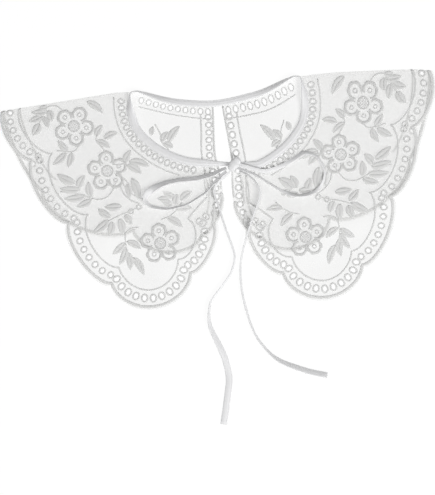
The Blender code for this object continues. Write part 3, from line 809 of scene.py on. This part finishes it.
@dataclass
class Embroidery:
    """The needlework of one half on its flat pattern: eyelets, corded lines, flowers, leaves.

    Args:
        laying: How the half lies, for unfolding what is drawn on it.
    """

    laying: Laying
    ring_width: float = 1.65
    ring_rise: float = 0.25
    cord_rise: float = 0.22
    edge_width: float = 2.7
    inner_width: float = 1.6
    neck_eyelets: int = 17
    neck_row_skip: int = 1
    neck_line_skip: int = 3
    hem_scallops_sewn: int = 1
    neck_depth: float = 7.3
    neck_line_depth: float = 14.0
    back_neck_eyelets: int = 10
    petal_reach: float = 11.2
    petal_radius: float = 7.4
    petal_window: float = 4.6
    petal_open: float = 2.5
    petal_lobes: float = 3.3
    petal_eyelet: float = 2.3
    petal_ring: float = 1.2
    net_radius: float = 4.4
    net_pitch: float = 1.75
    net_bar: float = 0.5
    bud_eyelet: float = 2.6
    stem_width: float = 1.2
    leaf_width: float = 1.3
    hole_sides: int = 16
    match: float = 2.2
    apart: float = 6.0

    FLOWERS = [(130.2, -20.0, 50.0), (105.0, -63.4, 91.0), (65.2, -133.4, 90.0)]
    BUDS = [(88.0, -102.0), (80.5, -99.0)]
    LEAVES = [
        Leaf(152, -4, 167, -3, 4.6), Leaf(157, -7, 170, -11, 4.6), Leaf(161, -14, 168, -24, 5.6),
        Leaf(157, -8, 153, -19, 4.4), Leaf(151, -3, 150, -13, 5.0), Leaf(152, 0, 160, 0, 3.6),
        Leaf(116, 1, 103, -11, 5.0), Leaf(112, -31, 105, -22, 4.4), Leaf(105, -34, 92, -30, 4.6),
        Leaf(112, -35, 100, -43, 4.2), Leaf(138, -41, 146, -31, 4.4), Leaf(140, -43, 153, -52, 5.0),
        Leaf(135, -43, 140, -56, 4.6), Leaf(135, -71, 150, -61, 5.6), Leaf(133, -76, 126, -65, 5.0),
        Leaf(131, -77, 149, -74, 5.0), Leaf(127, -83, 146, -84, 5.2), Leaf(122, -85, 123, -71, 4.8),
        Leaf(122, -87, 136, -92, 4.8), Leaf(89, -58, 82, -47, 4.8), Leaf(85, -57, 67, -63, 5.2),
        Leaf(87, -60, 75, -69, 5.0), Leaf(84, -72, 80, -92, 5.4), Leaf(89, -77, 88, -90, 4.2),
        Leaf(96, -96, 111, -95, 5.2), Leaf(107, -105, 117, -96, 4.8), Leaf(109, -107, 124, -117, 5.4),
        Leaf(106, -109, 110, -121, 5.0), Leaf(99, -107, 98, -122, 5.0), Leaf(94, -104, 89, -114, 4.4),
        Leaf(97, -129, 109, -138, 4.8), Leaf(96, -133, 104, -148, 4.6), Leaf(95, -138, 95, -154, 4.8),
        Leaf(91, -143, 83, -160, 5.0), Leaf(95, -128, 83, -136, 4.6), Leaf(56, -111, 44, -121, 4.8),
        Leaf(48, -105, 33, -105, 4.4), Leaf(53, -94, 63, -93, 4.0), Leaf(48, -93, 57, -88, 4.0),
    ]
    STEMS = [
        [(122, -86), (115, -88), (107, -86), (101, -79), (98, -73)],
        [(149, -77), (140, -79), (131, -82), (122, -86)],
        [(110, -30), (112, -34), (110, -38), (106, -44), (105, -49)],
        [(148, -40), (139, -42), (132, -42), (127, -37)],
        [(113, -110), (106, -107), (98, -104), (90, -102), (82, -99)],
        [(83, -117), (90, -117), (95, -121), (96, -129), (95, -138), (90, -146)],
        [(62, -112), (54, -110), (46, -104), (42, -99)],
        [(160.7, -14.1), (156.2, -6.5), (151.8, -0.2), (144.6, -0.1), (140.4, -2.9), (138.1, -6.8)],
        [(93.1, -72.6), (94.7, -78.8), (92.0, -86.3), (86.3, -92.4), (79.5, -95.9)],
        [(93.1, -72.6), (90.4, -80.2), (83.9, -87.3), (75.5, -92.8)],
        [(99, -58), (93, -59), (87, -58)],
        [(98, -68), (91, -72), (86, -79)],
    ]
    BACK_LEAVES = [
        Leaf(48, -44, 36, -29, 5.0), Leaf(54, -43, 47, -34, 4.6), Leaf(62, -36, 60, -28, 3.8),
        Leaf(52, -44, 44, -49, 4.2),
    ]
    BACK_STEMS = [
        [(57.9, -26.3), (54.1, -35.8), (53.2, -43.9), (47.9, -50.5)],
    ]
    LOOP_LEAVES = {
        Side.LEFT: [Leaf(43, -97, 32, -90, 5.0), Leaf(48, -100, 45, -91, 4.4), Leaf(51, -100, 59, -94, 4.4)],
        Side.RIGHT: [Leaf(59, -89, 47, -78, 6.0), Leaf(62, -89, 58, -77, 5.0),
                     Leaf(70, -91, 75, -81, 4.8), Leaf(64, -91, 76, -91, 4.6)],
    }

    def __post_init__(self) -> None:
        """Place every eyelet on the flat pattern."""
        self.eyelets: list[Eyelet] = []
        self.centres: list[Eyelet] = []
        cut = self.laying.cut
        for scallops, layer in ((FRONT_SCALLOPS, Layer.FRONT), (BACK_SCALLOPS, Layer.BACK)):
            for scallop, line in zip(scallops, cut.border_lines(scallops, EYELET_DEPTH)):
                self.row(line, scallop.eyelets, scallop.across, scallop.along, layer)
        column = through(BACK_COLUMN, BORDER_DEPTH)
        self.row(column, BACK_COLUMN_EYELETS, COLUMN_EYELET, COLUMN_EYELET, Layer.BACK)
        self.row(through(FRONT_CORNER, 2.0), FRONT_CORNER_EYELETS, 4.8, 3.8, Layer.FRONT)
        front_neck = cut.neck_line(Layer.FRONT, self.neck_depth)[self.neck_row_skip:]
        self.row(front_neck, self.neck_eyelets, 4.1, 2.9, Layer.FRONT)
        back_neck = cut.neck_line(Layer.BACK, self.neck_depth)
        self.row(back_neck, self.back_neck_eyelets, 5.2, 3.4, Layer.BACK, 1.1)
        for x, y, turn in self.FLOWERS:
            centre = self.laying.unfold(np.array((x, y)), Layer.FRONT)[0]
            self.centres.append(Eyelet(*centre, 1.0, 0.0, 2 * self.net_radius, 2 * self.net_radius, 0.0))
            for middle in self.petal_middles(x, y, turn):
                self.single(middle, self.petal_eyelet, self.petal_ring, Layer.FRONT)
        for bud in self.BUDS:
            self.single(np.array(bud), self.bud_eyelet, self.ring_width, Layer.FRONT)

    def single(self, middle: np.ndarray, size: float, ring: float, layer: Layer) -> None:
        """Place one round eyelet."""
        self.eyelets.append(Eyelet(*self.laying.unfold(middle, layer)[0], 1.0, 0.0, size, size, ring))

    def row(self, line: np.ndarray, count: int, across: float, along: float, layer: Layer,
            ring: float | None = None) -> None:
        """Place a row of eyelets evenly along a drawn line.

        Args:
            line: The drawn line.
            count: The number of eyelets.
            across: Their size square to the row.
            along: Their size along the row.
            layer: The layer that they are on.
            ring: Their rings' width, if it isn't the usual one.
        """
        flat = self.laying.unfold(line, layer)
        length = np.concatenate([[0], np.cumsum(np.linalg.norm(np.diff(flat, axis=0), axis=1))])
        for i in range(count):
            at = (i + 0.5) / count * length[-1]
            index = int(np.searchsorted(length, at)) - 1
            run = (flat[index + 1] - flat[index]) / np.linalg.norm(flat[index + 1] - flat[index])
            middle = flat[index] + run * (at - length[index])
            near = [e for e in self.eyelets if math.hypot(e.x - middle[0], e.y + middle[1]) < self.apart]
            if near and math.hypot(near[0].x - middle[0], near[0].y + middle[1]) < self.match:
                middle = np.array((near[0].x, -near[0].y))
            elif near:
                continue
            self.eyelets.append(Eyelet(*middle, *run, across, along, ring or self.ring_width))

    def petal_middles(self, x: float, y: float, turn: float) -> list[np.ndarray]:
        """Return the middles of a flower's five petals."""
        angles = [math.radians(turn + 72 * i) for i in range(5)]
        reach_out = self.petal_reach
        return [np.array((x + reach_out * math.cos(a), y + reach_out * math.sin(a))) for a in angles]

    def rings(self) -> Thread:
        """Sew the ring round each eyelet."""
        thread = Thread()
        for eyelet in self.eyelets:
            thread.bead(eyelet.oval(eyelet.ring / 2 - 0.1, 20), eyelet.ring, self.ring_rise, closed=True)
        return thread

    def lines(self) -> Thread:
        """Sew the corded lines along the edges."""
        thread = Thread()
        cut, unfold = self.laying.cut, self.laying.unfold
        for scallops, layer, edge in ((FRONT_SCALLOPS, Layer.FRONT, FRONT_EDGE),
                                      (BACK_SCALLOPS, Layer.BACK, BACK_EDGE)):
            outer = np.vstack(cut.border_lines(scallops, 0.0))
            thread.bead(evened(unfold(outer, layer), 1.2), self.edge_width, self.cord_rise)
            shown = len(scallops) if layer is Layer.FRONT else self.hem_scallops_sewn
            inner = np.vstack(cut.border_lines(scallops, BORDER_DEPTH)[:shown])
            thread.bead(evened(unfold(inner, layer), 1.5), self.inner_width, self.cord_rise)
            skip = self.neck_line_skip if layer is Layer.FRONT else 0
            neck = cut.neck_line(layer, self.neck_line_depth)[skip:]
            thread.bead(evened(unfold(neck, layer), 1.5), self.inner_width * 0.8, self.cord_rise)
            upright = through([*edge], 4.0) + (1.2, 0.0)
            thread.bead(evened(unfold(upright, layer), 1.5), self.inner_width, self.cord_rise)
        corner = unfold(through(FRONT_INNER, 3.0), Layer.FRONT)
        thread.bead(evened(corner, 1.5), self.inner_width, self.cord_rise)
        column = through(BACK_COLUMN, 4.0) + (7.0, 0.0)
        thread.bead(evened(unfold(column, Layer.BACK), 1.5), self.inner_width, self.cord_rise)
        return thread

    def flowers(self) -> Thread:
        """Sew the flowers: a scalloped outline to each petal, and a netted middle."""
        thread = Thread()
        for x, y, turn in self.FLOWERS:
            self.flower(thread, np.array((x, y)), turn)
        return thread

    def petal(self, thread: Thread, middle: np.ndarray, out: float) -> None:
        """Sew one petal's scalloped band of satin stitch, open towards the flower's middle.

        Args:
            thread: The needlework that it is added to.
            middle: The drawn middle of the petal's eyelet.
            out: The direction in which the petal points.
        """
        angle = np.linspace(-self.petal_open, self.petal_open, 46)
        end = np.abs(angle) / self.petal_open
        lobes = np.abs(np.cos(angle * self.petal_lobes))
        outer = self.petal_radius * (0.9 + 0.12 * lobes - 0.1 * end ** 4)
        inner = self.petal_window * (1.0 + 0.06 * end ** 2)
        way = np.stack([np.cos(angle + out), np.sin(angle + out)], axis=1)
        line = middle + ((outer + inner) / 2)[:, None] * way
        thread.bead(self.laying.unfold(line, Layer.FRONT), outer - inner, self.cord_rise)

    def flower(self, thread: Thread, middle: np.ndarray, turn: float) -> None:
        """Sew one flower.

        Args:
            thread: The needlework that it is added to.
            middle: Its drawn middle.
            turn: The direction of its first petal, in degrees.
        """
        for k, petal in enumerate(self.petal_middles(*middle, turn)):
            self.petal(thread, petal, math.radians(turn + 72 * k))
        ring = np.linspace(0, 2 * math.pi, 28, endpoint=False)
        radius = self.net_radius + self.petal_ring / 2 - 0.1
        circle = middle + radius * np.stack([np.cos(ring), np.sin(ring)], axis=1)
        thread.bead(self.laying.unfold(circle, Layer.FRONT), self.petal_ring, self.cord_rise, closed=True)
        for i in range(-2, 3):
            half = math.sqrt(radius ** 2 - (i * self.net_pitch) ** 2)
            for way in (np.array((0.8, 0.6)), np.array((-0.6, 0.8))):
                aside = np.array((way[1], -way[0])) * i * self.net_pitch
                bar = evened(np.array([middle + aside - way * half, middle + aside + way * half]), 1.5)
                thread.bead(self.laying.unfold(bar, Layer.FRONT), self.net_bar, 0.2)

    def leaves(self, side: Side) -> Thread:
        """Sew a half's leaves, each in two slanting parts that meet at its vein, and its stems."""
        thread = Thread()
        front = self.LEAVES + self.LOOP_LEAVES[side]
        sprays = ((front, self.STEMS, Layer.FRONT), (self.BACK_LEAVES, self.BACK_STEMS, Layer.BACK))
        for leaves, stems, layer in sprays:
            for leaf in leaves:
                self.leaf(thread, leaf, layer)
            for stem in stems:
                line = self.laying.unfold(through(stem, 1.5), layer)
                thread.bead(line, self.stem_width, self.cord_rise)
        return thread

    def leaf(self, thread: Thread, leaf: Leaf, layer: Layer) -> None:
        """Sew one leaf.

        Args:
            thread: The needlework that it is added to.
            leaf: The leaf.
            layer: The layer that it is on.
        """
        stalk, tip = np.array((leaf.x, leaf.y)), np.array((leaf.tip_x, leaf.tip_y))
        t = np.linspace(0, 1, 12)
        spread = np.sin(math.pi * t ** 0.85) ** 0.8 + 0.04
        run = (tip - stalk) / np.linalg.norm(tip - stalk)
        aside = np.array((run[1], -run[0]))
        bow = 0.06 * np.linalg.norm(tip - stalk) * np.sin(math.pi * t)
        for way in (-1, 1):
            shift = way * self.leaf_width * leaf.width / 4 * spread + bow
            line = stalk + np.outer(t, tip - stalk) + shift[:, None] * aside
            wide = self.leaf_width * leaf.width / 2 * spread + 0.15
            thread.bead(self.laying.unfold(line, layer), wide, 0.22 * spread + 0.04)


@dataclass
class ClothHalf:
    """One half's cloth, cut with all its eyelets, folded and laid.

    Args:
        laying: How it lies.
        embroidery: Its eyelets.
        grid: The spacing of its mesh.
    """

    laying: Laying
    embroidery: Embroidery
    grid: float = 3.2
    clear: float = 1.0
    fold_lines: int = 9

    def __post_init__(self) -> None:
        """Cut the flat pattern once for both halves."""
        self.points, self.faces = self.pattern()

    def outline(self) -> np.ndarray:
        """Return the whole edge on the flat pattern."""
        front = self.laying.unfold(self.laying.front, Layer.FRONT)
        back = self.laying.unfold(self.laying.back, Layer.BACK)
        front[0] = back[0] = (front[0] + back[0]) / 2
        return np.vstack([front, [(0.0, 0.0)], back[:0:-1]])

    def crossings(self, outline: np.ndarray, levels: np.ndarray) -> np.ndarray:
        """Return the outline with a point wherever it crosses a line along the fold."""
        full = []
        for start, end in zip(outline, np.roll(outline, -1, axis=0)):
            full.append(start)
            shares = sorted((w - start[1]) / (end[1] - start[1]) for w in levels
                            if (w - start[1]) * (w - end[1]) < 0)
            full += [start + (end - start) * share for share in shares]
        return np.array(full)

    def pattern(self) -> tuple[np.ndarray, list[tuple[int, ...]]]:
        """Cut the half flat.

        Returns:
            The pattern's points, and its triangles.
        """
        levels = np.linspace(-FOLD_ARC, FOLD_ARC, self.fold_lines)
        outline = self.crossings(self.outline(), levels)
        sides = self.embroidery.hole_sides
        holes = [eyelet.oval(0.0, sides) for eyelet in self.embroidery.eyelets + self.embroidery.centres]
        low, high = outline.min(axis=0), outline.max(axis=0)
        s = np.arange(low[0], high[0], self.grid)
        grid = [(x, w) for w in levels for x in s]
        height = self.grid * math.sin(math.pi / 3)
        for j, w in enumerate(np.arange(low[1], high[1], height)):
            if abs(w) > FOLD_ARC + self.clear:
                grid += [(x + self.grid * (j % 2) / 2, w) for x in s]
        grid = np.array(grid)
        keep = inside(grid, outline) & (distance(grid, outline) > self.clear)
        for hole in holes:
            near = np.abs(grid - hole.mean(axis=0)).max(axis=1) < 8.0
            close = np.flatnonzero(near & keep)
            if len(close):
                bad = inside(grid[close], hole) | (distance(grid[close], hole) < self.clear)
                keep[close[bad]] = False
        points, edges = [], []
        for loop in [outline, *holes]:
            start, count = len(points), len(loop)
            points += [Vector(p) for p in loop]
            edges += [(start + i, start + (i + 1) % count) for i in range(count)]
        points += [Vector(p) for p in grid[keep]]
        for w in levels:
            row = sorted((p.x, i) for i, p in enumerate(points) if abs(p.y - w) < 1e-4)
            edges += [(a, b) for (_, a), (_, b) in zip(row, row[1:])]
        found, _, faces, *_ = geometry.delaunay_2d_cdt(points, edges, [], 1, 1e-6)
        flat = np.array([tuple(p) for p in found])
        middles = flat[np.array(faces)].mean(axis=1)
        cut = np.zeros(len(faces), bool)
        for hole in holes:
            near = np.abs(middles - hole.mean(axis=0)).max(axis=1) < 8.0
            cut[near] |= inside(middles[near], hole)
        return flat, [face for face, gone in zip(faces, cut) if not gone]

    def lay(self, name: str, side: Side, mat: bpy.types.Material) -> bpy.types.Object:
        """Lay the cloth on a side and return the piece."""
        places = self.laying.world(self.points, np.zeros(len(self.points)), side)
        faces = self.faces if side is Side.LEFT else [face[::-1] for face in self.faces]
        return new_piece(name, places, faces, mat)

    def size(self) -> tuple[float, float]:
        """Return the flat cut's width and length in metres."""
        wide, tall = (self.points.max(axis=0) - self.points.min(axis=0)) * MM
        return float(wide), float(tall)


class Profile(Enum):
    """A tape's cross-section, across and up, as shares of half its width and thickness."""

    BOUND = ((-1.0, -0.3), (-0.97, 0.15), (-0.85, 0.5), (-0.68, 0.62), (-0.6, 0.5), (-0.5, 0.72),
             (-0.2, 0.98), (0.1, 0.92), (0.2, 0.82), (0.32, 0.95), (0.6, 0.8), (0.85, 0.45), (0.97, 0.05),
             (1.0, -0.4), (0.9, -0.8), (0.5, -0.95), (-0.5, -0.95), (-0.9, -0.8))
    STITCHED = ((-1.0, 0.0), (-0.94, 0.55), (-0.8, 0.8), (-0.66, 0.55), (-0.5, 0.85), (0.1, 1.0), (0.7, 0.85),
                (0.95, 0.5), (1.0, 0.0), (0.95, -0.5), (0.6, -0.85), (-0.6, -0.85), (-0.95, -0.5))


@dataclass
class TapeRun:
    """A run of tape along a route, swept from its folded section.

    Args:
        name: The piece's name.
        rows: The route's rows.
        tape: Its full size.
        profile: Its section.
    """

    name: str
    rows: Sequence[Sequence[float]]
    tape: Tape
    profile: Profile
    step: float = 1.6
    path: np.ndarray = field(default_factory=lambda: np.zeros((0, 3)))

    def build(self, mat: bpy.types.Material) -> bpy.types.Object:
        """Sweep the tape and return the piece."""
        rows = through(self.rows, self.step)
        height = np.array([row[2] + reach(row, self.tape)[1] for row in rows])
        self.path = np.column_stack([rows[:, :2] - CENTRE, height]) * MM
        way = runs(self.path)
        aside = np.cross(way, (0.0, 0.0, 1.0))
        aside /= np.linalg.norm(aside, axis=1)[:, None]
        up = np.cross(aside, way)
        lean = np.radians(rows[:, 3])[:, None]
        across = aside * np.cos(lean) + up * np.sin(lean)
        over = up * np.cos(lean) - aside * np.sin(lean)
        along = np.concatenate([[0], np.cumsum(np.linalg.norm(np.diff(self.path, axis=0), axis=1))]) / MM
        section = self.profile.value
        half = rows[:, 4:5] * MM / 2
        rings = [self.path + across * half * self.tape.width * x + over * half * self.tape.thick * y
                 for x, y in section]
        many, sides = len(rows), len(section)
        faces = [(k * many + i, (k + 1) % sides * many + i, (k + 1) % sides * many + i + 1, k * many + i + 1)
                 for k in range(sides) for i in range(many - 1)]
        faces += [tuple(k * many for k in reversed(range(sides))),
                  tuple(k * many + many - 1 for k in range(sides))]
        stitch = np.vstack([np.column_stack([along, np.full(many, x * self.tape.width / 2)])
                            for x, _ in section])
        return new_piece(self.name, np.vstack(rings), faces, mat, stitch)

    def length(self) -> float:
        """Return the length of the route in metres."""
        return float(np.linalg.norm(np.diff(self.path, axis=0), axis=1).sum())


@dataclass
class Bow:
    """The neck tape and the bow that its ends are tied in.

    Args:
        laying: How the cloth under it lies.
        mat: The tape's material.
    """

    laying: Laying
    mat: bpy.types.Material

    def settled(self, route: np.ndarray) -> np.ndarray:
        """Return a tie's route lifted clear of the cloth, with gentle slopes."""
        turns = np.arange(FEEL_WAYS) * 2 * math.pi / FEEL_WAYS
        ways = np.vstack([[(0.0, 0.0)], FEEL_REACH * np.stack([np.cos(turns), np.sin(turns)], axis=1)])
        tops = np.max([self.laying.cloth_top(route[:, :2] + way) for way in ways], axis=0)
        lifts = route[:, 2] + tops
        for _ in range(EASING_PASSES):
            lifts[1:-1] = np.maximum(lifts[1:-1], (lifts[:-2] + lifts[2:]) / 2)
        settled = route.copy()
        settled[:, 2] = lifts
        return settled

    def outside_knot(self, route: np.ndarray) -> np.ndarray:
        """Return the part of a route that is clear of the knot."""
        c, s = math.cos(-KNOT_TURN), math.sin(-KNOT_TURN)
        offset = (route[:, :2] - KNOT_MIDDLE) @ np.array([[c, s], [-s, c]])
        half = np.array(KNOT_CAGE[:2]) / 2 * KNOT_SHRINK + KNOT_CLEAR
        return route[((offset / half) ** 2).sum(axis=1) >= 1]

    def neck_rows(self) -> np.ndarray:
        """Return the binding's rows from the knot round the neck and back to the knot."""
        table = np.array(NECK_ROUTE, float)
        left, right = table[1:].copy(), table[:-1].copy()
        left[:, :2] = self.laying.slide(left[:, :2], Side.LEFT)
        right[:, :2] = self.laying.slide(right[:, :2], Side.RIGHT)
        return np.vstack([LEFT_END[::-1], left[::-1], right, RIGHT_END])

    def binding(self) -> bpy.types.Object:
        """Make the tape round the neck and return it."""
        rows = self.outside_knot(through(self.neck_rows(), TAPE_STEP))
        piece = TapeRun("neck_tape", rows, BINDING, Profile.BOUND).build(self.mat)
        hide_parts("neck_binding")
        return piece

    def tie(self, node: str, rows: list[Row]) -> bpy.types.Object:
        """Make a loop or a tail of the bow.

        Args:
            node: The solid that it replaces.
            rows: Its route.

        Returns:
            The piece.
        """
        route = self.outside_knot(self.settled(through(rows, TAPE_STEP)))
        run = TapeRun(node + "_tape", route, TIE, Profile.STITCHED)
        piece = run.build(self.mat)
        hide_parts(node)
        return piece

    def knot(self) -> bpy.types.Object:
        """Make the knot, a tape pulled tight round the ties, with creases along the wrap."""
        wraps, around = 26, 28
        half = np.array(KNOT_CAGE) / 2 * KNOT_SHRINK * (1.08, 1.08, 0.95)
        points = []
        for i in range(wraps + 1):
            t = -1 + 2 * i / wraps
            girth = math.sqrt(max(1 - abs(t) ** 3.2, 0.0004))
            crease = 1 + 0.05 * math.cos(t * 9.0)
            for k in range(around):
                angle = 2 * math.pi * k / around
                x = half[0] * girth * crease * math.copysign(abs(math.cos(angle)) ** 0.85, math.cos(angle))
                z = half[2] * girth * crease * math.copysign(abs(math.sin(angle)) ** 0.85, math.sin(angle))
                points.append((x, half[1] * t, z))
        c, s = math.cos(KNOT_TURN), math.sin(KNOT_TURN)
        local = np.array(points)
        turned = local[:, :2] @ np.array([[c, s], [-s, c]]) + KNOT_MIDDLE - CENTRE
        places = np.column_stack([turned, local[:, 2] + ON_BACK + half[2] + KNOT_LIFT]) * MM
        faces = [(i * around + k, (i + 1) * around + k, (i + 1) * around + (k + 1) % around,
                  i * around + (k + 1) % around) for i in range(wraps) for k in range(around)]
        faces += [tuple(range(around)), tuple(wraps * around + k for k in reversed(range(around)))]
        stitch = np.column_stack([local[:, 0] * 2, local[:, 1]])
        piece = new_piece("knot_wrap", places, faces, self.mat, stitch)
        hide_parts("knot")
        return piece


@dataclass
class Studio:
    """The light table, the lights and the camera, straight above the collar.

    Args:
        middle: The point under the camera, in the collar's drawn millimetres.
        roll: The camera's turn in its own plane, in degrees.
        height: The camera's height.
        lens: Its focal length.
    """

    middle: tuple[float, float] = (-14.66, -138.14)
    roll: float = -6.55
    height: float = 1052.0
    lens: float = 85.0
    sensor: float = 36.0
    table_size: float = 6.0

    def build(self) -> None:
        """Set up the light table, lights, world and camera."""
        scene = bpy.context.scene
        scene.view_settings.view_transform = "Standard"
        x, y = (np.array(self.middle) - CENTRE) * MM
        half = self.table_size / 2
        mesh = bpy.data.meshes.new("light_table")
        corners = [(-half, -half, 0), (half, -half, 0), (half, half, 0), (-half, half, 0)]
        mesh.from_pydata(corners, [], [(0, 1, 2, 3)])
        mesh.materials.append(OpalAcrylic().material())
        table = bpy.data.objects.new("light_table", mesh)
        scene.collection.objects.link(table)
        camera = bpy.data.cameras.new("camera")
        camera.lens = self.lens
        camera.sensor_width = self.sensor
        eye = bpy.data.objects.new("camera", camera)
        eye.location = (x, y, self.height * MM)
        eye.rotation_euler = (0.0, 0.0, math.radians(self.roll))
        scene.collection.objects.link(eye)
        scene.camera = eye
        self.softbox("key", (1.6, -1.7, 2.6), 1.9, 74.0)
        self.softbox("fill", (-1.4, -1.7, 3.0), 2.4, 30.0)
        world = bpy.data.worlds.new("room")
        world.use_nodes = True
        room = world.node_tree.nodes["Background"]
        room.inputs["Color"].default_value = (1.0, 1.0, 1.0, 1.0)
        room.inputs["Strength"].default_value = 0.28
        scene.world = world

    def softbox(self, name: str, place: tuple[float, float, float], size: float, watts: float) -> None:
        """Hang a soft light, aimed at the collar's middle.

        Args:
            name: Its name.
            place: Where it hangs, in metres.
            size: Its width.
            watts: Its power.
        """
        light = bpy.data.lights.new(name, "AREA")
        light.shape = "SQUARE"
        light.size = size
        light.energy = watts
        lamp = bpy.data.objects.new(name, light)
        lamp.location = place
        lamp.rotation_euler = (-Vector(place)).to_track_quat("-Z", "Y").to_euler()
        bpy.context.scene.collection.objects.link(lamp)


def dress_half(side: Side, cloth: ClothHalf, mats: dict[str, bpy.types.Material]) -> None:
    """Make one half's cloth and needlework.

    Args:
        side: The half.
        cloth: Its cut cloth.
        mats: The cloth's and the thread's materials, and the flowers' darker thread, which is painted shade.
    """
    name = side.name.lower()
    work = cloth.embroidery
    piece = cloth.lay(name + "_cloth", side, mats["cloth"])
    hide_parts(name + "_half")
    for kind, thread in (("rings", work.rings()), ("cording", work.lines()), ("flowers", work.flowers()),
                         ("leaves", work.leaves(side))):
        # The flowers take a darker copy of the thread: painted shade, not a different thread.
        finish = mats["flower_painted_shade" if kind == "flowers" else "thread"]
        trim = thread.lay(f"{name}_{kind}", cloth.laying, side, finish)
    cloth.size()


def main() -> None:
    """Build the collar's looks round the frame."""
    logging.basicConfig(level=logging.INFO, format="%(message)s")
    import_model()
    Studio().build()
    laying = Laying()
    tape = SatinTape().material()
    bow = Bow(laying, tape)
    bow.tie("left_loop", LEFT_LOOP)
    bow.tie("right_loop", RIGHT_LOOP)
    bow.tie("left_tail", LEFT_TAIL)
    bow.tie("right_tail", RIGHT_TAIL)
    bow.binding()
    bow.knot()
    cloth = ClothHalf(laying, Embroidery(laying))
    # The flowers' thread is the same white cotton, painted darker as painted shade for the self-shadowing of
    # their dense satin stitch.
    flower_painted_shade = SatinStitch("cotton_thread_flower_painted_shade", "#E9E9E8", "#D5D5D4")
    mats = {"cloth": SheerCotton().material(), "thread": SatinStitch().material(),
            "flower_painted_shade": flower_painted_shade.material()}
    for side in Side:
        dress_half(side, cloth, mats)


if __name__ == "__main__":
    main()
